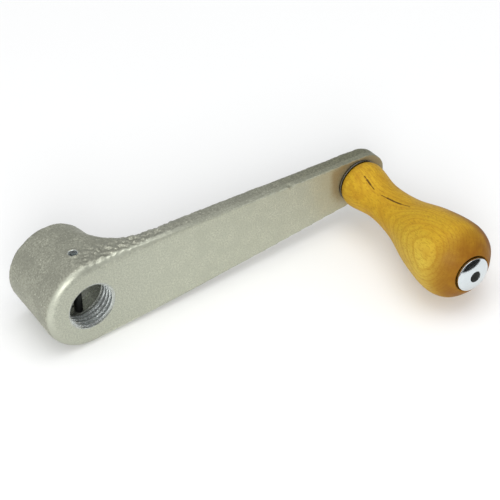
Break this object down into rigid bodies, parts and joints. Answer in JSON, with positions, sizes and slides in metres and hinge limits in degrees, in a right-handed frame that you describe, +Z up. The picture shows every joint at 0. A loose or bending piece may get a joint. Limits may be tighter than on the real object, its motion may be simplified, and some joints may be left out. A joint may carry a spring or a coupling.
{
  "type": "hand crank",
  "caption": "Cast hand crank with a round bored and threaded hub, a flat tapering arm and a turned wooden grip that spins freely on its bolt.",
  "frame": {"origin": "the point where the hub bore's axis meets the arm's flat front face", "axes": "+X along the arm from the hub to the grip, +Y from the front face to the back of the hub along the bore, +Z up as the crank lies on its edge; the grip stands out towards -Y"},
  "size_m": [0.1885, 0.1259, 0.0448],
  "materials": {
    "tinned_casting": "hot-dip tinned casting, matt, with a ground front face",
    "dark_steel": "blackened spring steel",
    "lacquered_wood": "amber satin lacquer over fine-grained wood",
    "polished_steel": "bright polished",
    "plain_steel": "plain zinc-plated"
  },
  "bodies": {
    "crank": {"crank_arm": "tinned_casting", "cross_pin": "dark_steel", "grip_bolt": "polished_steel", "spacer_sleeve": "plain_steel", "inner_washer": "plain_steel", "lock_washer": "plain_steel", "lock_nut": "plain_steel"},
    "grip": {"grip": "lacquered_wood"}
  },
  "joints": [
    {"name": "grip_spin", "type": "hinge", "parent": "crank", "child": "grip", "pos_m": [0.1476, 0, 0], "axis": [0, -1, 0], "continuous": true}
  ]
}
